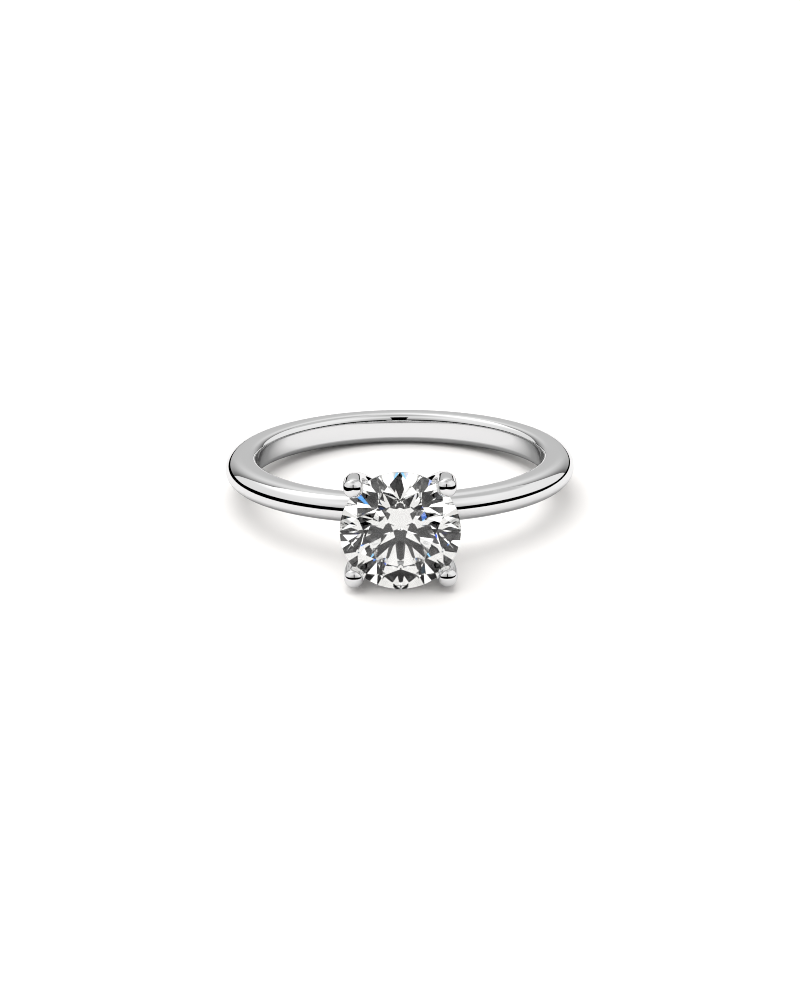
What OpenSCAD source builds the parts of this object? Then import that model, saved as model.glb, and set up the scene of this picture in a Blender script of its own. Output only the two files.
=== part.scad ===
// Four-claw solitaire ring with a round brilliant-cut stone, in millimetres.
// The ring lies on its side, as it rests on a table: +X is its right, -Y points out of the stone
// and +Z is up. The origin is the middle of the finger hole. The stone's girdle and the back of
// the shank touch the table, so the finger axis leans back from +Z by rest_tilt.

/* [Finger hole and shank] */
// Diameter of the finger hole (16.5 is US size 6)
finger_d = 16.5; // [14:0.1:20]
// Radial thickness of the shank
shank_t = 1.82; // [1.6:0.02:2.2]
// Width of the shank along the finger, at the back
shank_w = 1.81; // [1.6:0.01:2.2]
// Width of the shank along the finger, at the head
shank_head_w = 1.6; // [1.4:0.01:1.8]
// Radius of the softened inner edges
inner_edge_r = 0.45; // [0.2:0.05:0.6]

/* [Stone] */
// Girdle diameter of the stone
stone_d = 6.8; // [6.2:0.1:7.2]
// Height of the girdle above the finger axis
girdle_h = 13.55; // [13.3:0.05:14.5]
// Thickness of the girdle at its corners
girdle_t = 0.18; // [0.16:0.01:0.3]
// Table diameter as a share of the stone's diameter
table_ratio = 0.57; // [0.53:0.01:0.62]
// Slope of the eight crown mains, in degrees
crown_angle = 34.5; // [32:0.5:36]
// Slope of the eight pavilion mains, in degrees
pavilion_angle = 40.8; // [40:0.1:41.8]
// Reach of the star facets from the table's edge towards the girdle
star_length = 0.5; // [0.4:0.05:0.6]
// Reach of the lower girdle facets from the girdle towards the culet
lower_half_length = 0.77; // [0.7:0.01:0.85]

/* [Claws and head] */
// Diameter of the claw wire and its rounded tips
claw_d = 1.15; // [0.9:0.05:1.3]
// Distance of the claw tips from the stone's axis
claw_reach = 3.7; // [3.5:0.05:3.8]
// Height of the middle of a claw's rounded tip above the girdle
claw_tip_h = 0.42; // [0.3:0.02:0.6]
// Depth below the girdle where the claws start to curve inwards
claw_bend_depth = 0.3; // [0.2:0.05:0.6]
// Diameter of the gallery rail's wire
rail_wire_d = 0.75; // [0.6:0.05:0.9]
// Diameter of the gallery rail, to the middle of its wire
rail_d = 4.8; // [4.4:0.1:5]
// Depth of the gallery rail below the girdle
rail_depth = 2.05; // [1.9:0.05:2.2]
// Outer diameter of the ring at the foot of the head
base_d = 2.9; // [2.6:0.1:3.2]
// Height of the ring at the foot of the head
base_h = 1.15; // [1:0.05:1.2]
// Diameter of the peg that fixes the head in the shank
peg_d = 1; // [0.8:0.05:1]

/* [Hidden] */
$fn = 96;

platinum = [0.86, 0.86, 0.88];
platinum_wire = [0.8, 0.81, 0.84];
platinum_rail = [0.72, 0.73, 0.77];
diamond_white = [0.93, 0.97, 1];

// The stone and the claws share this eight-fold division.
FACETS = 8;
STEP = 360 / FACETS;

finger_r = finger_d / 2;
shank_r = finger_r + shank_t;
shank_edge_r = shank_w / 2;
shank_edge_at = shank_r - shank_edge_r;
stone_r = stone_d / 2;
claw_r = claw_d / 2;
peg_r = peg_d / 2;
edge_into_hole = 0.03;
gap = 0.01;

// The foot of the head is let into the shank by this much.
base_sink = 0.3;
base_low = shank_r - base_sink;
base_edge_at = base_d / 2 - base_h / 2;
culet_h = girdle_h - girdle_t / 2 - stone_r * tan(pavilion_angle);
peg_top = (base_low + culet_h) / 2;

// Each claw bends on a circle that meets its straight top and ends inside the foot's edge.
bend_top = girdle_h - claw_bend_depth;
bend_drop = bend_top - (base_low + base_h / 2);
bend_run = claw_reach - base_edge_at;
bend_angle = 2 * atan(bend_run / bend_drop);
bend_r = bend_drop / sin(bend_angle);

// Tilt at which the girdle and the back of the shank touch one level table.
contact_run = girdle_h - girdle_t / 2 + shank_edge_at;
rest_tilt = atan(stone_r / contact_run) - asin(shank_edge_r / norm([contact_run, stone_r]));

// Lean of each side of the shank, which slims it from its back to its head.
taper_lean = atan((shank_w - shank_head_w) / (4 * shank_r));

// ---- Placing ----

// Puts a piece that is drawn around an upright finger axis, head towards -Y, in its resting pose.
module at_rest() {
    rotate([-rest_tilt, 0, 0]) children();
}

// Turns a head piece, drawn upright around its own axis with z from the finger axis, towards -Y.
module on_head_axis() {
    at_rest() rotate([90, 0, 0]) children();
}

// ---- Shank ----

// Half-round outside and flat inside, with softened inner edges. It reaches into the finger hole,
// which is cut afterwards and crosses the round of those edges.
module shank_section() {
    inner_x = finger_r + inner_edge_r - edge_into_hole;
    flat = shank_w - 2 * inner_edge_r;
    translate([shank_edge_at, 0]) circle(r = shank_edge_r);
    translate([inner_x, -shank_w / 2]) square([shank_edge_at - inner_x, shank_w]);
    translate([finger_r - inner_edge_r, -flat / 2]) square([2 * inner_edge_r, flat]);
    for (side = [-1, 1]) translate([inner_x, side * flat / 2]) circle(r = inner_edge_r);
}

// The upper half of the shank. Its round leans down from the back, so that it slims to the head.
module half_shank() {
    reach = 4 * shank_r;
    difference() {
        translate([0, shank_r, 0]) rotate([taper_lean, 0, 0]) translate([0, -shank_r, 0])
            rotate_extrude() shank_section();
        finger_hole();
        translate([-reach / 2, -reach / 2, -reach]) cube(reach);
    }
}

module finger_hole() {
    cylinder(r = finger_r, h = 4 * shank_w, center = true);
}

module shank() {
    color(platinum) difference() {
        at_rest() {
            half_shank();
            mirror([0, 0, 1]) half_shank();
        }
        on_head_axis() {
            base_solid();
            cylinder(r = peg_r, h = shank_r);
        }
    }
}

// ---- Head ----

// A ring with a half-round edge, drawn solid so that it can also cut its own seat.
module base_solid() {
    translate([0, 0, base_low]) rotate_extrude() {
        square([base_edge_at, base_h]);
        intersection() {
            translate([base_edge_at, base_h / 2]) circle(r = base_h / 2);
            square([base_d, base_h]);
        }
    }
}

module base_ring() {
    color(platinum_rail) on_head_axis() difference() {
        base_solid();
        translate([0, 0, base_low - gap]) cylinder(r = peg_r, h = base_h + 2 * gap);
    }
}

module head_peg() {
    color(platinum_wire) at_rest() difference() {
        rotate([90, 0, 0]) translate([0, 0, finger_r - 1]) cylinder(r = peg_r, h = peg_top - finger_r + 1);
        finger_hole();
    }
}

module rail_solid() {
    translate([0, 0, girdle_h - rail_depth]) rotate_extrude() translate([rail_d / 2, 0])
        circle(d = rail_wire_d);
}

module gallery_rail() {
    color(platinum_rail) on_head_axis() rail_solid();
}

// One claw on its own turn around the stone: a straight top with a rounded tip, and a bent foot,
// with a seat for the stone and grooves where it meets the rail and the foot of the head.
module claw(turn) {
    color(platinum_wire) on_head_axis() difference() {
        rotate([0, 0, turn]) translate([claw_reach, 0, bend_top]) {
            cylinder(r = claw_r, h = claw_bend_depth + claw_tip_h);
            translate([0, 0, claw_bend_depth + claw_tip_h]) sphere(r = claw_r);
            translate([-bend_r, 0, 0]) rotate([-90, 0, 0]) rotate_extrude(angle = bend_angle)
                translate([bend_r, 0]) circle(r = claw_r);
        }
        stone_envelope();
        rail_solid();
        base_solid();
    }
}

module claw_upper_right() claw(STEP);
module claw_upper_left() claw(3 * STEP);
module claw_lower_left() claw(5 * STEP);
module claw_lower_right() claw(7 * STEP);

// ---- Stone ----

table_r = stone_r * table_ratio;
crown_h = (stone_r - table_r) * tan(crown_angle);
pavilion_h = stone_r * tan(pavilion_angle);
star_r = let (edge = table_r * cos(STEP / 2)) edge + star_length * (stone_r - edge);
lower_r = stone_r * (1 - lower_half_length);

// Point at a radius, a turn and a height.
function around(r, turn, z) = [r * cos(turn), r * sin(turn), z];

// Grinds a flat through three points, given anticlockwise as seen from outside the stone.
module flat(a, b, c) {
    n = cross(b - a, c - a);
    depth = n * a / norm(n);
    rotate([0, acos(n.z / norm(n)), atan2(n.y, n.x)])
        translate([-stone_d, -stone_d, depth]) cube(2 * stone_d);
}

// Grinds one side of the stone, drawn with its tip upwards and its girdle at z = 0: the mains,
// which meet at tip_r, and the pairs of halves, which meet on the mains at half_r.
module ground_side(tip_r, half_r, slope) {
    function main_z(r) = (stone_r - r) * tan(slope);
    for (i = [0:FACETS - 1]) rotate([0, 0, i * STEP]) {
        tip = [tip_r, 0, main_z(tip_r)];
        girdle = [stone_r, 0, 0];
        inner = around(half_r, STEP / 2, main_z(half_r * cos(STEP / 2)));
        between = around(stone_r, STEP / 2, 0);
        flat(tip, girdle, girdle + [0, 1, 0]);
        flat(inner, girdle, between);
        mirror([0, 1, 0]) flat(inner, girdle, between);
    }
}

// Grinds the eight star facets between the table and the crown's mains.
module ground_stars() {
    star_h = (stone_r - star_r * cos(STEP / 2)) * tan(crown_angle);
    for (i = [0:FACETS - 1]) rotate([0, 0, i * STEP])
        flat([table_r, 0, crown_h], around(star_r, STEP / 2, star_h), around(table_r, STEP, crown_h));
}

module diamond() {
    color(diamond_white, 0.5) on_head_axis() translate([0, 0, girdle_h]) difference() {
        translate([0, 0, -girdle_t / 2 - pavilion_h - 1])
            cylinder(r = stone_r, h = crown_h + girdle_t + pavilion_h + 1);
        translate([0, 0, girdle_t / 2]) {
            ground_side(table_r, star_r, crown_angle);
            ground_stars();
        }
        translate([0, 0, -girdle_t / 2]) mirror([0, 0, 1]) ground_side(0, lower_r, pavilion_angle);
    }
}

// The stone's cones and round girdle, which its facets lie inside; the claws' seats are cut to it.
module stone_envelope() {
    table_edge = table_r + gap;
    rim = stone_r + gap;
    half_girdle = girdle_t / 2 + gap;
    translate([0, 0, girdle_h]) rotate_extrude() polygon([
        [0, half_girdle + crown_h],
        [table_edge, half_girdle + crown_h],
        [rim, half_girdle],
        [rim, -half_girdle],
        [0, -half_girdle - pavilion_h]
    ]);
}

shank();
head_peg();
base_ring();
gallery_rail();
claw_upper_right();
claw_upper_left();
claw_lower_left();
claw_lower_right();
diamond();
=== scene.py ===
"""Four-claw solitaire ring: polished platinum and a round brilliant-cut diamond.

Every piece is modelled in millimetres around an upright finger axis, with the head towards -Y.
lay_down() then tilts it into its resting pose and brings it to metres.
"""

from math import asin, atan, cos, hypot, pi, radians, sin, tan

import bpy
from mathutils import Matrix, Quaternion, Vector


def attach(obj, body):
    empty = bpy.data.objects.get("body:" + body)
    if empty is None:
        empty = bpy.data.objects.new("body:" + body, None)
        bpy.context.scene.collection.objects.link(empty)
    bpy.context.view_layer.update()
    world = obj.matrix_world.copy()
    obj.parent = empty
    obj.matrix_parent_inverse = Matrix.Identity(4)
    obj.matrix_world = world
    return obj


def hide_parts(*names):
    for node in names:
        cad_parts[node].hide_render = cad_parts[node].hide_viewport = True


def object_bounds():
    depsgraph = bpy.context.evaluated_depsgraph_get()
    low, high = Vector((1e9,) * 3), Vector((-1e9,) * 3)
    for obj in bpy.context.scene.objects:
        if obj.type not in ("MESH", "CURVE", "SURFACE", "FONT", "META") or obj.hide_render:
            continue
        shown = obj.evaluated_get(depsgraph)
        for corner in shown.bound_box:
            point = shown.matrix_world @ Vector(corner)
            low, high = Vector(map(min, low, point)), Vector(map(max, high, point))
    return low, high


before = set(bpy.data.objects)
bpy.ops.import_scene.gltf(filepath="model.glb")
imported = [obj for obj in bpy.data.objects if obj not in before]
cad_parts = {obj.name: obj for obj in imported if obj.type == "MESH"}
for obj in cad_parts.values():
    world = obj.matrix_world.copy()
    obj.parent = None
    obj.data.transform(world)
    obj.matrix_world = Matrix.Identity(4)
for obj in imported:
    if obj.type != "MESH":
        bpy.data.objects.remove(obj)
cad_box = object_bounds()

MM = 0.001

# ---- Dimensions, in millimetres ----

finger_r = 8.25
shank_t = 1.82
shank_w = 1.81
shank_head_w = 1.6
inner_edge_r = 0.45

stone_r = 3.4
girdle_h = 13.55
girdle_t = 0.18
table_ratio = 0.57
crown_slope = radians(34.5)
pavilion_slope = radians(40.8)
star_length = 0.5
lower_half_length = 0.77
facets = 8
step = 2 * pi / facets

claw_r = 0.575
claw_reach = 3.7
claw_tip_h = 0.42
claw_bend_depth = 0.3
rail_wire_r = 0.375
rail_r = 2.4
rail_depth = 2.05
base_r = 1.45
base_h = 1.15
base_sink = 0.3
peg_r = 0.5
peg_edge = 0.06
gap = 0.01

# How close two places are to count as the same, and how far a cutter runs past what it cuts.
near = 0.001
spare = 1

shank_r = finger_r + shank_t
shank_edge_r = shank_w / 2
shank_edge_at = shank_r - shank_edge_r
base_low = shank_r - base_sink
base_edge_at = base_r - base_h / 2
crown_h = stone_r * (1 - table_ratio) * tan(crown_slope)
pavilion_h = stone_r * tan(pavilion_slope)
culet_h = girdle_h - girdle_t / 2 - pavilion_h
peg_top = (base_low + culet_h) / 2

bend_top = girdle_h - claw_bend_depth
bend_drop = bend_top - (base_low + base_h / 2)
bend_run = claw_reach - base_edge_at
bend_angle = 2 * atan(bend_run / bend_drop)
bend_r = bend_drop / sin(bend_angle)

# The girdle and the back of the shank touch the table, which tilts the finger axis back.
contact_run = girdle_h - girdle_t / 2 + shank_edge_at
rest_tilt = atan(stone_r / contact_run) - asin(shank_edge_r / hypot(contact_run, stone_r))

# The camera's elevation, which the stone's view of the studio uses too.
camera_height = radians(21.71)

# ---- Modelling ----


def deselect():
    """Leaves no object selected."""
    bpy.ops.object.select_all(action="DESELECT")


def only(piece):
    """Selects one piece and makes it active."""
    deselect()
    piece.select_set(True)
    bpy.context.view_layer.objects.active = piece


def started(name):
    """Names the primitive just added, applies its place and opens it for editing."""
    piece = bpy.context.object
    piece.name = name
    piece.data.name = name
    bpy.ops.object.transform_apply(location=True, rotation=True, scale=True)
    bpy.ops.object.mode_set(mode="EDIT")
    bpy.ops.mesh.select_all(action="SELECT")
    return piece


def closed_up():
    """Merges doubles, turns all faces outwards and leaves edit mode."""
    bpy.ops.mesh.select_all(action="SELECT")
    bpy.ops.mesh.remove_doubles(threshold=0.0005)
    bpy.ops.mesh.normals_make_consistent(inside=False)
    bpy.ops.object.mode_set(mode="OBJECT")


def pick(piece, kind, wanted):
    """Selects, in edit mode, only the vertices, edges or faces that wanted() says yes to."""
    bpy.ops.mesh.select_mode(type=kind)
    bpy.ops.mesh.select_all(action="DESELECT")
    bpy.ops.object.mode_set(mode="OBJECT")
    mesh = piece.data
    parts = {"VERT": mesh.vertices, "EDGE": mesh.edges, "FACE": mesh.polygons}[kind]
    for part in parts:
        part.select = wanted(part)
    bpy.ops.object.mode_set(mode="EDIT")


def cut(piece, *cutters):
    """Takes each cutter's space out of the piece."""
    only(piece)
    for cutter in cutters:
        boolean = piece.modifiers.new("Cut", "BOOLEAN")
        boolean.operation = "DIFFERENCE"
        boolean.solver = "EXACT"
        boolean.object = cutter
        bpy.ops.object.modifier_apply(modifier=boolean.name)


def spin_round(steps):
    """Spins the selected section, which lies in the XZ plane, once around Z."""
    bpy.ops.mesh.spin(steps=steps, angle=2 * pi, center=(0, 0, 0), axis=(0, 0, 1))


def lay_down(piece, on_head):
    """Tilts a finished piece into its resting pose, in metres."""
    only(piece)
    turn = Matrix.Rotation(-rest_tilt, 4, "X")
    if on_head:
        turn = turn @ Matrix.Rotation(pi / 2, 4, "X")
    piece.matrix_world = turn @ Matrix.Scale(MM, 4)
    bpy.ops.object.transform_apply(location=True, rotation=True, scale=True)


def smoothed(piece, sharp_angle):
    """Shades a piece smooth, with its edges past the angle kept sharp."""
    only(piece)
    bpy.ops.object.shade_smooth_by_angle(angle=sharp_angle)


# ---- Shank ----


def make_shank():
    """A half-round section, flat inside with softened edges, spun round the finger and tapered."""
    bpy.ops.mesh.primitive_plane_add(size=1, rotation=(pi / 2, 0, 0))
    shank = bpy.context.object
    shank.scale = (shank_t, shank_w, 1)
    shank.location = (finger_r + shank_t / 2, 0, 0)
    started("polished_shank")
    outer = finger_r + shank_t / 2
    pick(shank, "VERT", lambda v: v.co.x > outer)
    bpy.ops.mesh.bevel(
        offset=shank_edge_r, segments=28, affect="VERTICES", clamp_overlap=False
    )
    pick(shank, "VERT", lambda v: v.co.x < finger_r + near)
    bpy.ops.mesh.bevel(offset=inner_edge_r, segments=10, affect="VERTICES")
    bpy.ops.mesh.select_all(action="SELECT")
    bpy.ops.mesh.remove_doubles(threshold=0.0005)
    bpy.ops.mesh.delete(type="ONLY_FACE")
    bpy.ops.mesh.select_all(action="SELECT")
    spin_round(steps=288)
    closed_up()
    mean_w = (shank_w + shank_head_w) / 2
    shank.scale = (1, 1, mean_w / shank_w)
    only(shank)
    bpy.ops.object.transform_apply(location=False, rotation=False, scale=True)
    taper = shank.modifiers.new("Taper", "SIMPLE_DEFORM")
    taper.deform_method = "TAPER"
    taper.deform_axis = "Y"
    taper.lock_x = True
    taper.factor = (shank_w - shank_head_w) / mean_w
    bpy.ops.object.modifier_apply(modifier=taper.name)
    foot = base_solid("foot_cutter")
    peg = round_rod("peg_cutter", peg_r, 0, shank_r)
    for cutter in (foot, peg):
        only(cutter)
        cutter.rotation_euler = (pi / 2, 0, 0)
        bpy.ops.object.transform_apply(location=False, rotation=True, scale=False)
    cut(shank, foot, peg)
    bpy.data.objects.remove(foot)
    bpy.data.objects.remove(peg)
    smoothed(shank, radians(40))
    return shank


# ---- Head, drawn upright: z is the distance from the finger axis ----


def round_rod(name, radius, low, high):
    """A round rod along Z, for the peg and for what bores its holes."""
    bpy.ops.mesh.primitive_cylinder_add(
        vertices=64, radius=radius, depth=high - low, location=(0, 0, (low + high) / 2)
    )
    rod = started(name)
    bpy.ops.object.mode_set(mode="OBJECT")
    return rod


def base_solid(name):
    """The foot of the head as a solid: a disc with a half-round edge."""
    bpy.ops.mesh.primitive_cylinder_add(
        vertices=128, radius=base_r, depth=base_h, location=(0, 0, base_low + base_h / 2)
    )
    disc = started(name)

    def on_rim(edge):
        ends = [disc.data.vertices[i].co for i in edge.vertices]
        outside = all(hypot(end.x, end.y) > base_edge_at for end in ends)
        return outside and abs(ends[0].z - ends[1].z) < near

    pick(disc, "EDGE", on_rim)
    bpy.ops.mesh.bevel(offset=base_h / 2, segments=16, affect="EDGES", clamp_overlap=False)
    closed_up()
    return disc


def make_base_ring():
    """The ring at the foot of the head, bored for the peg."""
    ring = base_solid("base_ring_turned")
    bore = round_rod("bore_cutter", peg_r, base_low - spare, base_low + base_h + spare)
    cut(ring, bore)
    bpy.data.objects.remove(bore)
    smoothed(ring, radians(35))
    return ring


def make_peg():
    """The pin under the head, flush with the finger hole at its inner end."""
    peg = round_rod("soldered_peg", peg_r, finger_r - spare, peg_top)
    only(peg)
    bpy.ops.object.mode_set(mode="EDIT")
    pick(peg, "FACE", lambda f: f.center.z > peg_top - near)
    bpy.ops.mesh.bevel(offset=peg_edge, segments=4, affect="EDGES")
    closed_up()
    bpy.ops.mesh.primitive_cylinder_add(
        vertices=288, radius=finger_r, depth=6, rotation=(pi / 2, 0, 0)
    )
    hole = started("hole_cutter")
    bpy.ops.object.mode_set(mode="OBJECT")
    cut(peg, hole)
    bpy.data.objects.remove(hole)
    smoothed(peg, radians(35))
    return peg


def make_rail(name):
    """A ring of round wire around the head."""
    bpy.ops.mesh.primitive_circle_add(
        vertices=40, radius=rail_wire_r, location=(rail_r, 0, girdle_h - rail_depth),
        rotation=(pi / 2, 0, 0)
    )
    rail = started(name)
    spin_round(steps=160)
    closed_up()
    smoothed(rail, radians(60))
    return rail


def make_claw():
    """One claw, standing at +X: a rounded tip, a straight top and a foot that curves inwards."""
    tip_z = girdle_h + claw_tip_h
    around = 72
    rings = 18
    bpy.ops.mesh.primitive_circle_add(
        vertices=around, radius=claw_r, location=(claw_reach, 0, bend_top)
    )
    claw = started("round_wire_claw")
    bpy.ops.mesh.spin(
        steps=36, angle=bend_angle, center=(claw_reach - bend_r, 0, bend_top), axis=(0, -1, 0)
    )
    bpy.ops.mesh.edge_face_add()
    pick(claw, "VERT", lambda v: abs(v.co.z - bend_top) < near / 10)
    bpy.ops.mesh.extrude_region_move(TRANSFORM_OT_translate={"value": (0, 0, tip_z - bend_top)})
    for i in range(rings):
        low = i * pi / 2 / rings
        high = (i + 1) * pi / 2 / rings
        rise = claw_r * (sin(high) - sin(low))
        shrink = max(cos(high), near) / cos(low)
        bpy.ops.mesh.extrude_region_move(TRANSFORM_OT_translate={"value": (0, 0, rise)})
        bpy.ops.transform.resize(
            value=(shrink, shrink, 1), center_override=(claw_reach, 0, tip_z)
        )
    bpy.ops.mesh.merge(type="CENTER")
    closed_up()
    envelope = stone_envelope()
    rail = make_rail("rail_cutter")
    foot = base_solid("claw_foot_cutter")
    cut(claw, envelope, rail, foot)
    for cutter in (envelope, rail, foot):
        bpy.data.objects.remove(cutter)
    smoothed(claw, radians(35))
    return claw


def stone_envelope():
    """The stone's cones and its girdle; the claws' seats are cut to it."""
    half = girdle_t / 2 + gap
    bpy.ops.mesh.primitive_cylinder_add(
        vertices=256, radius=stone_r + gap, depth=2 * half, location=(0, 0, girdle_h)
    )
    envelope = started("seat_cutter")
    pick(envelope, "FACE", lambda f: f.center.z > girdle_h + 0.01)
    bpy.ops.mesh.extrude_region_move(TRANSFORM_OT_translate={"value": (0, 0, crown_h)})
    shrink = (stone_r * table_ratio + gap) / (stone_r + gap)
    bpy.ops.transform.resize(value=(shrink, shrink, 1), center_override=(0, 0, girdle_h))
    pick(envelope, "FACE", lambda f: f.center.z < girdle_h - 0.01)
    bpy.ops.mesh.extrude_region_move(TRANSFORM_OT_translate={"value": (0, 0, -pavilion_h)})
    bpy.ops.transform.resize(value=(0.0001, 0.0001, 1), center_override=(0, 0, girdle_h))
    closed_up()
    return envelope


# ---- Stone ----


def grind(a, b, c, turn, side):
    """Grinds one facet through three points, turned about the stone's axis; side is 1 or -1."""
    spin = Matrix.Rotation(turn, 3, "Z")
    points = [spin @ Vector((p[0], p[1], side * p[2])) for p in (a, b, c)]
    normal = (points[1] - points[0]).cross(points[2] - points[0]).normalized()
    if normal.dot(points[0]) < 0:
        normal = -normal
    place = points[0] + Vector((0, 0, side * girdle_t / 2))
    bpy.ops.mesh.select_all(action="SELECT")
    bpy.ops.mesh.bisect(
        plane_co=place, plane_no=normal, use_fill=True, clear_outer=True, threshold=0.00001
    )


def polar(radius, turn, z):
    """A point at a radius and a turn about the stone's axis."""
    return (radius * cos(turn), radius * sin(turn), z)


def grind_side(tip_r, half_r, slope, side):
    """Grinds the mains, which meet at tip_r, and the halves, which meet on them at half_r."""
    def main_z(radius):
        """The height of a main facet above the girdle's edge."""
        return (stone_r - radius) * tan(slope)

    tip = (tip_r, 0, main_z(tip_r))
    girdle = (stone_r, 0, 0)
    beside = (stone_r, 1, 0)
    for i in range(facets):
        grind(tip, girdle, beside, i * step, side)
        for way in (1, -1):
            inner = polar(half_r, way * step / 2, main_z(half_r * cos(step / 2)))
            between = polar(stone_r, way * step / 2, 0)
            grind(inner, girdle, between, i * step, side)


def make_diamond():
    """A round brilliant: 33 crown facets, 24 pavilion facets and a round girdle."""
    table_r = stone_r * table_ratio
    star_edge = table_r * cos(step / 2)
    star_r = star_edge + star_length * (stone_r - star_edge)
    star_h = (stone_r - star_r * cos(step / 2)) * tan(crown_slope)
    low = -girdle_t / 2 - pavilion_h - spare
    high = girdle_t / 2 + crown_h
    bpy.ops.mesh.primitive_cylinder_add(
        vertices=192, radius=stone_r, depth=high - low, location=(0, 0, (high + low) / 2)
    )
    stone = started("brilliant_cut_diamond")
    grind_side(table_r, star_r, crown_slope, 1)
    for i in range(facets):
        corner = (table_r, 0, crown_h)
        star = polar(star_r, step / 2, star_h)
        next_corner = polar(table_r, step, crown_h)
        grind(corner, star, next_corner, i * step, 1)
    grind_side(0, stone_r * (1 - lower_half_length), pavilion_slope, -1)
    bpy.ops.mesh.select_all(action="SELECT")
    bpy.ops.transform.translate(value=(0, 0, girdle_h))
    closed_up()
    return stone


# ---- Materials ----


def linear(colour):
    """An sRGB hex colour as linear RGBA."""
    channels = [int(colour[i:i + 2], 16) / 255 for i in (0, 2, 4)]
    return (*[c / 12.92 if c <= 0.04045 else ((c + 0.055) / 1.055) ** 2.4 for c in channels], 1)


def add(tree, kind, inputs=None, **settings):
    """Adds a node, sets its properties, and gives each input a value, a socket or a node to read."""
    node = tree.nodes.new(kind)
    for name, value in settings.items():
        setattr(node, name, value)
    for name, value in (inputs or {}).items():
        if isinstance(value, bpy.types.Node):
            value = value.outputs[0]
        socket = node.inputs[name]
        if isinstance(name, str):
            socket = next(s for s in node.inputs if s.name == name and s.enabled)
        if isinstance(value, bpy.types.NodeSocket):
            tree.links.new(value, socket)
        else:
            socket.default_value = value
    return node


def fill_ramp(ramp, colours):
    """Gives a colour ramp its stops: linear RGBA by position."""
    stops = ramp.color_ramp.elements
    positions = sorted(colours)
    while len(stops) < len(positions):
        stops.new(0.5)
    for stop, position in zip(stops, positions):
        stop.position = position
    for stop, position in zip(stops, positions):
        stop.color = colours[position]


def greys(levels):
    """Brightness levels by position as linear RGBA."""
    return {position: (level, level, level, 1) for position, level in levels.items()}


def hex_colours(colours):
    """sRGB hex colours by position as linear RGBA."""
    return {position: linear(colour) for position, colour in colours.items()}


def new_material(name):
    """An empty material."""
    material = bpy.data.materials.new(name)
    material.use_nodes = True
    material.node_tree.nodes.clear()
    return material


def polished_platinum():
    """Wire and cast platinum, soldered up and buffed to a mirror.

    It gives sharp black and white reflections, in which slow changes of roughness leave a faint
    haze. The fine scratches are drawn coarser than real ones, which would not show.
    """
    haze_size = 2.5 * MM
    scratch_size = 0.12 * MM
    scratch_depth = 0.0006 * MM
    material = new_material("polished_platinum")
    tree = material.node_tree
    place = add(tree, "ShaderNodeTexCoord")
    haze = add(tree, "ShaderNodeTexNoise", {
        "Vector": place.outputs["Object"], "Scale": 1 / haze_size, "Detail": 3,
    })
    rough = add(tree, "ShaderNodeMapRange", {
        "Value": haze, "From Min": 0.3, "From Max": 0.7, "To Min": 0.02, "To Max": 0.045,
    })
    scratches = add(tree, "ShaderNodeTexNoise", {
        "Vector": place.outputs["Object"], "Scale": 1 / scratch_size, "Detail": 5,
    })
    relief = add(tree, "ShaderNodeBump", {
        "Height": scratches, "Strength": 0.12, "Distance": scratch_depth,
    })
    shader = add(tree, "ShaderNodeBsdfPrincipled", {
        "Base Color": linear("EAEAEA"), "Metallic": 1.0, "Roughness": rough, "Normal": relief,
    })
    add(tree, "ShaderNodeOutputMaterial", {"Surface": shader})
    return material


def polished_diamond():
    """Colourless polished diamond: sharp black, white and coloured patches, hardly tinted.

    Specular Tint makes its surface reflections less than half as strong as a real diamond's, which
    keeps the dark facets dark over a white table.
    """
    zone_size = 2 * MM
    material = new_material("polished_diamond")
    tree = material.node_tree
    place = add(tree, "ShaderNodeTexCoord")
    zones = add(tree, "ShaderNodeTexNoise", {
        "Vector": place.outputs["Object"], "Scale": 1 / zone_size, "Detail": 2,
    })
    tint = add(tree, "ShaderNodeMix", {
        "Factor": zones, "A": linear("FFFFFF"), "B": linear("FDFDFA"),
    }, data_type="RGBA")
    shader = add(tree, "ShaderNodeBsdfPrincipled", {
        "Base Color": tint.outputs[2], "Roughness": 0.0, "IOR": 2.417,
        "Transmission Weight": 1.0, "Specular Tint": (0.4, 0.4, 0.4, 1),
    })
    add(tree, "ShaderNodeOutputMaterial", {"Surface": shader})
    return material


def bruted_girdle():
    """The girdle, left as it was ground: a fine frosted grey line round a clear stone."""
    grain_size = 0.1 * MM
    material = new_material("bruted_girdle")
    tree = material.node_tree
    place = add(tree, "ShaderNodeTexCoord")
    grain = add(tree, "ShaderNodeTexNoise", {
        "Vector": place.outputs["Object"], "Scale": 1 / grain_size, "Detail": 4,
    })
    rough = add(tree, "ShaderNodeMapRange", {"Value": grain, "To Min": 0.25, "To Max": 0.5})
    shader = add(tree, "ShaderNodeBsdfPrincipled", {
        "Base Color": linear("B4B6B8"), "Roughness": rough, "IOR": 2.417,
        "Transmission Weight": 0.6,
    })
    add(tree, "ShaderNodeOutputMaterial", {"Surface": shader})
    return material


# ---- Studio ----
#
# The light is arranged, not physical: the table, the metal and the stone each see a tent of their own.


def mirrored_rays(tree, path):
    """1 for a ray that a surface mirrored or let through, and 0 for any other."""
    return add(tree, "ShaderNodeMath", {
        0: path.outputs["Is Glossy Ray"], 1: path.outputs["Is Transmission Ray"],
    }, operation="MAXIMUM")


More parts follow.
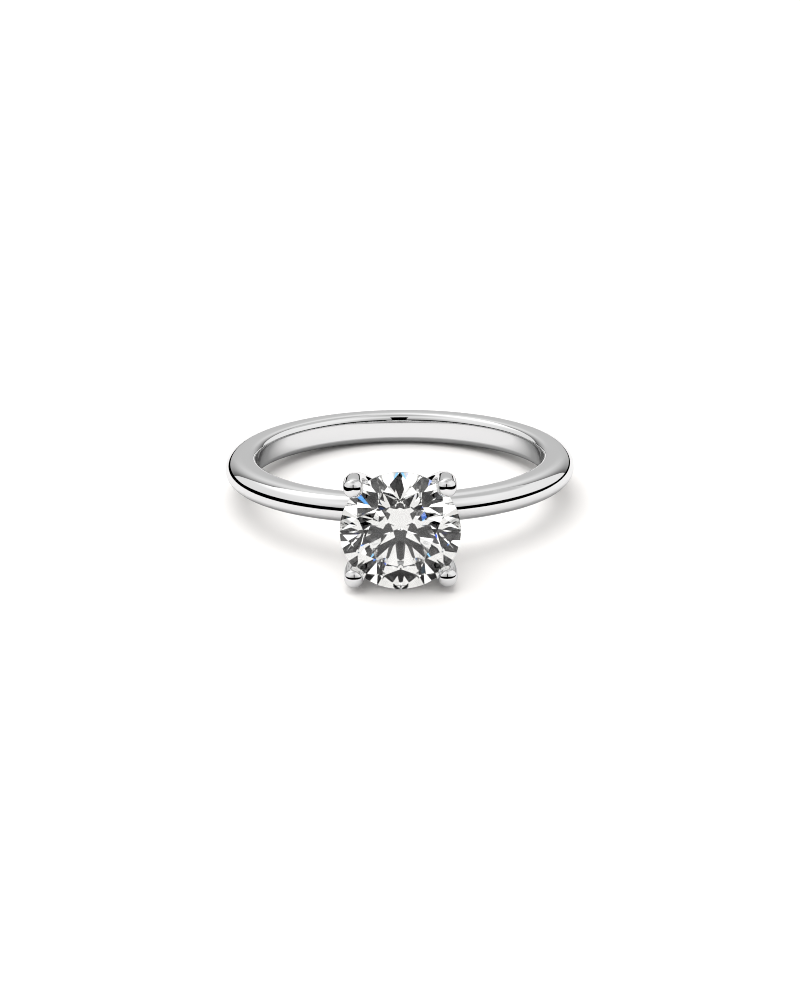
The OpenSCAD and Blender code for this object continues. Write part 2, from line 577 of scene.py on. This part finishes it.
def paper_floor(table_z):
    """A white card under the ring.

    In the metal it is a dimmer copy of itself with a painted shadow ring under the band, and it
    ends at two long edges, beyond which it is black, a painted dark reflection. Through the stone
    it glows evenly, a painted light.
    """
    floor_r = 4
    card_half_w = 21 * MM
    card_middle = 3 * MM
    shade_reach = 20 * MM
    bpy.ops.mesh.primitive_circle_add(
        vertices=96, radius=floor_r, fill_type="NGON", location=(0, 0, table_z)
    )
    floor = bpy.context.object
    floor.name = "paper_floor"
    bpy.ops.object.transform_apply(location=True, rotation=True, scale=True)
    material = new_material("white_card")
    tree = material.node_tree
    path = add(tree, "ShaderNodeLightPath")
    mirrored = mirrored_rays(tree, path)
    place = add(tree, "ShaderNodeTexCoord")

    # Painted shade: to mirrored rays the card is a dimmer grey, darker still in a painted shadow ring
    # under the band.
    radius = add(tree, "ShaderNodeVectorMath", {0: place.outputs["Object"]}, operation="LENGTH")
    reach = add(tree, "ShaderNodeMath", {0: radius.outputs["Value"], 1: shade_reach},
                operation="DIVIDE")
    painted_band_shadow = add(tree, "ShaderNodeValToRGB", {"Fac": reach})
    fill_ramp(painted_band_shadow, hex_colours({
        0: "DDDCDC", 0.33: "DDDCDC", 0.39: "9A9A9A", 0.46: "9A9A9A", 0.56: "DDDCDC",
    }))
    paper_and_painted_shade = add(tree, "ShaderNodeMix", {
        "Factor": mirrored, "A": linear("F5F3F1"), "B": painted_band_shadow,
    }, data_type="RGBA")
    card = add(tree, "ShaderNodeBsdfDiffuse", {"Color": paper_and_painted_shade.outputs[2]})

    # Painted reflection: beyond two long edges the card is black to mirrored rays only, which draws
    # the dark line in the metal.
    dark = add(tree, "ShaderNodeEmission", {"Color": (0, 0, 0, 1)})
    split = add(tree, "ShaderNodeSeparateXYZ", {"Vector": place.outputs["Object"]})
    middle = add(tree, "ShaderNodeMath", {0: split, 1: card_middle}, operation="SUBTRACT")
    aside = add(tree, "ShaderNodeMath", {0: middle}, operation="ABSOLUTE")
    beyond = add(tree, "ShaderNodeMath", {0: aside, 1: card_half_w}, operation="GREATER_THAN")
    painted_black_mask = add(tree, "ShaderNodeMath", {0: beyond, 1: mirrored}, operation="MULTIPLY")
    surface = add(tree, "ShaderNodeMixShader", {0: painted_black_mask, 1: card, 2: dark})

    # Painted light: to rays through the stone the card glows evenly, with no shadows, instead of being
    # lit.
    glowing_card_in_stone = add(tree, "ShaderNodeEmission", {"Color": linear("F6F5F4")})
    surface = add(tree, "ShaderNodeMixShader", {
        0: path.outputs["Is Transmission Ray"], 1: surface, 2: glowing_card_in_stone,
    })
    add(tree, "ShaderNodeOutputMaterial", {"Surface": surface})
    floor.data.materials.append(material)


def even_tent_wall(tree, side, up):
    """The tent's wall by height: brightest halfway up, dimmer at the top and on the left."""
    by_degrees = {0: 0.88, 30: 0.92, 52: 1.0, 64: 0.94, 72: 0.8, 79: 0.62, 88: 0.46}
    height = add(tree, "ShaderNodeMath", {0: up}, operation="ARCSINE")
    height_share = add(tree, "ShaderNodeMath", {0: height, 1: pi / 2}, operation="DIVIDE")
    wall = add(tree, "ShaderNodeValToRGB", {"Fac": height_share})
    fill_ramp(wall, greys({degrees / 90: level for degrees, level in by_degrees.items()}))
    sideways = add(tree, "ShaderNodeMapRange", {
        "Value": side, "From Min": -1, "From Max": 1, "To Min": 0.97, "To Max": 1.07,
    })
    return add(tree, "ShaderNodeMath", {0: wall, 1: sideways}, operation="MULTIPLY")


def lit_tent_wall(tree, even_wall, direction, back):
    """The even wall, dimmer at the front and with a bright and a dim patch over the panel."""
    frontal = add(tree, "ShaderNodeMapRange", {
        "Value": back, "From Min": -0.9, "From Max": -0.3, "To Min": 0.55, "To Max": 1,
    }, interpolation_type="SMOOTHSTEP")
    lit_wall = add(tree, "ShaderNodeMath", {0: even_wall, 1: frontal}, operation="MULTIPLY")
    over_left_corner = (-0.396, 0.472, 0.788)
    over_right_corner = (0.369, 0.44, 0.82)
    for corner, reach, change in ((over_left_corner, 28, 0.35), (over_right_corner, 20, -0.4)):
        towards = add(tree, "ShaderNodeVectorMath", {0: direction, 1: corner},
                      operation="DOT_PRODUCT")
        patch = add(tree, "ShaderNodeMapRange", {
            "Value": towards.outputs["Value"], "From Min": cos(radians(reach)),
            "From Max": cos(radians(reach / 3)), "To Min": 0, "To Max": change,
        }, interpolation_type="SMOOTHSTEP")
        lit_wall = add(tree, "ShaderNodeMath", {0: lit_wall, 1: patch}, operation="ADD")
    return lit_wall


def with_back_panel(tree, lit_wall, aside, back, up):
    """The wall with a flat panel behind the ring, darker towards its sides."""
    panel_half_w = 0.86
    panel_h = 1.07
    depth = add(tree, "ShaderNodeMath", {0: back, 1: 0.001}, operation="MAXIMUM")
    across = add(tree, "ShaderNodeMath", {0: aside, 1: depth}, operation="DIVIDE")
    across = add(tree, "ShaderNodeMath", {0: across, 1: panel_half_w}, operation="DIVIDE")
    rise = add(tree, "ShaderNodeMath", {0: up, 1: depth}, operation="DIVIDE")
    rise = add(tree, "ShaderNodeMath", {0: rise, 1: panel_h}, operation="DIVIDE")
    by_width = add(tree, "ShaderNodeValToRGB", {"Fac": across})
    fill_ramp(by_width, greys({0: 0.86, 0.3: 0.86, 0.5: 0.7, 0.68: 0.5, 0.82: 0.33, 1: 0.16}))
    by_height = add(tree, "ShaderNodeValToRGB", {"Fac": rise})
    fill_ramp(by_height, greys({0: 0.66, 0.15: 0.7, 0.5: 1, 0.9: 1.1, 0.95: 0.9, 1: 0.75}))
    panel = add(tree, "ShaderNodeMath", {0: by_width, 1: by_height}, operation="MULTIPLY")
    edge_at = add(tree, "ShaderNodeMath", {0: across, 1: rise}, operation="MAXIMUM")
    on_panel = add(tree, "ShaderNodeMath", {0: edge_at, 1: 1}, operation="LESS_THAN")
    return add(tree, "ShaderNodeMix", {"Factor": on_panel, "A": lit_wall, "B": panel})


def seen_by_metal(tree, tent, horizon, aside, back, up):
    """The tent with the dark room below its edge, and the camera's dark stand at the front."""
    stand_half_w = 0.1
    above = add(tree, "ShaderNodeMath", {0: up, 1: horizon}, operation="GREATER_THAN")
    beside = add(tree, "ShaderNodeMath", {0: aside, 1: stand_half_w}, operation="GREATER_THAN")
    over = add(tree, "ShaderNodeMath", {0: back, 1: -0.5}, operation="GREATER_THAN")
    clear = add(tree, "ShaderNodeMath", {0: beside, 1: over}, operation="MAXIMUM")
    open_way = add(tree, "ShaderNodeMath", {0: above, 1: clear}, operation="MULTIPLY")
    return add(tree, "ShaderNodeMath", {0: open_way, 1: tent}, operation="MULTIPLY")


def seen_by_stone(tree, even_wall, direction, horizon, side, back, up):
    """A contrasty tent: a dark room, a dark disc and ring round the camera, and thin dark ribs.

    Their edges are blue. They stand in for a diamond's fire, which the shader can't split off.
    """
    rib_step = radians(26)
    rib_half_w = radians(3)
    brightness = 1.4
    camera_way = Vector((0.1, -cos(camera_height), sin(camera_height)))

    margin = add(tree, "ShaderNodeMath", {0: up, 1: horizon}, operation="SUBTRACT")
    margin = add(tree, "ShaderNodeMath", {0: margin, 1: 2, 2: 0.5}, operation="MULTIPLY_ADD")
    low_edge = add(tree, "ShaderNodeValToRGB", {"Fac": margin})
    low_edge.color_ramp.interpolation = "CONSTANT"
    fill_ramp(low_edge, hex_colours({0: "000000", 0.5: "1B3FD0", 0.54: "7FC4F0", 0.58: "FFFFFF"}))

    towards = add(tree, "ShaderNodeVectorMath", {0: direction, 1: camera_way},
                  operation="DOT_PRODUCT")
    from_camera = add(tree, "ShaderNodeMath", {0: towards.outputs["Value"]}, operation="ARCCOSINE")
    from_camera = add(tree, "ShaderNodeMath", {0: from_camera, 1: pi / 2}, operation="DIVIDE")
    opening = add(tree, "ShaderNodeValToRGB", {"Fac": from_camera})
    opening.color_ramp.interpolation = "CONSTANT"
    fill_ramp(opening, hex_colours({
        0: "101012", 0.197: "1E50E0", 0.205: "7FC4F0", 0.212: "FFFFFF",
        0.3: "101014", 0.37: "2F7CF0", 0.38: "FFFFFF",
    }))
    fire = add(tree, "ShaderNodeMix", {
        "Factor": 1.0, "A": low_edge, "B": opening,
    }, data_type="RGBA", blend_type="MULTIPLY")

    azimuth = add(tree, "ShaderNodeMath", {0: side, 1: back}, operation="ARCTAN2")
    azimuth = add(tree, "ShaderNodeMath", {0: azimuth, 1: rib_step / 2}, operation="PINGPONG")
    ribs = add(tree, "ShaderNodeMath", {0: azimuth, 1: rib_half_w}, operation="GREATER_THAN")
    level = add(tree, "ShaderNodeMath", {0: ribs, 1: even_wall}, operation="MULTIPLY")
    level = add(tree, "ShaderNodeMath", {0: level, 1: brightness}, operation="MULTIPLY")
    return add(tree, "ShaderNodeVectorMath", {0: fire.outputs[2], "Scale": level},
               operation="SCALE")


def seen_by_table(tree, direction):
    """A soft light overhead, a little to the left and behind, which gives the soft shadows."""
    lamp = Vector((-0.3, 0.3, 1)).normalized()
    towards = add(tree, "ShaderNodeVectorMath", {0: direction, 1: lamp}, operation="DOT_PRODUCT")
    return add(tree, "ShaderNodeMapRange", {
        "Value": towards.outputs["Value"], "From Min": cos(radians(58)),
        "From Max": cos(radians(10)), "To Min": 0.8, "To Max": 2.5,
    }, interpolation_type="SMOOTHSTEP")


def studio_world():
    """A white light tent round the ring, open to a dark room at the front and near the table.

    side, back and up are the parts of a direction that point to the ring's right, away from the
    camera and upwards.
    """
    world = bpy.data.worlds.new("light_tent")
    bpy.context.scene.world = world
    world.use_nodes = True
    world.cycles.sampling_method = "NONE"
    tree = world.node_tree
    tree.nodes.clear()
    place = add(tree, "ShaderNodeTexCoord")
    direction = place.outputs["Generated"]
    way = add(tree, "ShaderNodeSeparateXYZ", {"Vector": direction})
    side = way.outputs["X"]
    back = way.outputs["Y"]
    up = way.outputs["Z"]
    aside = add(tree, "ShaderNodeMath", {0: side}, operation="ABSOLUTE")
    horizon = add(tree, "ShaderNodeMath", {0: back, 1: -0.27, 2: 0.155},
                  operation="MULTIPLY_ADD")

    even_wall = even_tent_wall(tree, side, up)
    lit_wall = lit_tent_wall(tree, even_wall, direction, back)
    tent = with_back_panel(tree, lit_wall, aside, back, up)
    in_metal = seen_by_metal(tree, tent, horizon, aside, back, up)
    in_stone = seen_by_stone(tree, even_wall, direction, horizon, side, back, up)
    on_table = seen_by_table(tree, direction)

    path = add(tree, "ShaderNodeLightPath")
    mirrored = mirrored_rays(tree, path)
    level = add(tree, "ShaderNodeMix", {"Factor": mirrored, "A": on_table, "B": in_metal})
    colour = add(tree, "ShaderNodeMix", {
        "Factor": path.outputs["Is Transmission Ray"], "A": level, "B": in_stone,
    }, data_type="RGBA")
    background = add(tree, "ShaderNodeBackground", {"Color": colour.outputs[2]})
    add(tree, "ShaderNodeOutputWorld", {"Surface": background})


def photographers_camera():
    """A long lens from in front and above, turned by half a degree."""
    distance = 450 * MM
    aim_below = 1.948 * MM
    roll = radians(-0.57)
    data = bpy.data.cameras.new("camera")
    data.lens = 280.3
    data.sensor_width = 36
    data.clip_start = 0.01
    data.clip_end = 20
    camera = bpy.data.objects.new("camera", data)
    bpy.context.scene.collection.objects.link(camera)
    out = Vector((0, -cos(camera_height), sin(camera_height)))
    up = Vector((0, sin(camera_height), cos(camera_height)))
    camera.location = out * distance
    aim = -up * aim_below
    facing = (aim - camera.location).to_track_quat("-Z", "Y")
    camera.rotation_mode = "QUATERNION"
    camera.rotation_quaternion = facing @ Quaternion((0, 0, 1), roll)
    bpy.context.scene.camera = camera


# ---- Assembly ----

# started() opens each primitive for editing itself.
bpy.context.preferences.edit.use_enter_edit_mode = False
deselect()
platinum = polished_platinum()
diamond = polished_diamond()
girdle = bruted_girdle()


def finished(piece, node, slot, on_head, *materials):
    """Lays a piece down, gives it its materials and puts it in place of its node."""
    lay_down(piece, on_head)
    for material in materials:
        piece.data.materials.append(material)
    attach(piece, "root")
    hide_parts(node)


finished(make_shank(), "shank", "platinum", False, platinum)
finished(make_base_ring(), "base_ring", "platinum", True, platinum)
finished(make_peg(), "head_peg", "platinum", True, platinum)
finished(make_rail("gallery_rail_wire"), "gallery_rail", "platinum", True, platinum)

claw = make_claw()
claws = {
    "claw_upper_right": 45, "claw_upper_left": 135, "claw_lower_left": 225,
    "claw_lower_right": 315,
}
for node, turn in claws.items():
    copy = bpy.data.objects.new(node + "_wire", claw.data.copy())
    bpy.context.scene.collection.objects.link(copy)
    only(copy)
    copy.rotation_euler = (0, 0, radians(turn))
    bpy.ops.object.transform_apply(location=False, rotation=True, scale=False)
    finished(copy, node, "platinum", True, platinum)
bpy.data.objects.remove(claw)

stone = make_diamond()
finished(stone, "diamond", "diamond", True, diamond, girdle)
stone_axis = Vector((0, -cos(rest_tilt), sin(rest_tilt)))
for face in stone.data.polygons:
    face.use_smooth = False
    if abs(face.normal.dot(stone_axis)) < 0.1:
        face.material_index = 1
        face.use_smooth = True

paper_floor(table_z=cad_box[0].z)
studio_world()
photographers_camera()

bpy.context.scene.view_settings.view_transform = "Standard"
bpy.context.scene.cycles.filter_width = 1.0
bpy.context.scene.cycles.max_bounces = 24
bpy.context.scene.cycles.transmission_bounces = 24
bpy.context.scene.cycles.glossy_bounces = 12
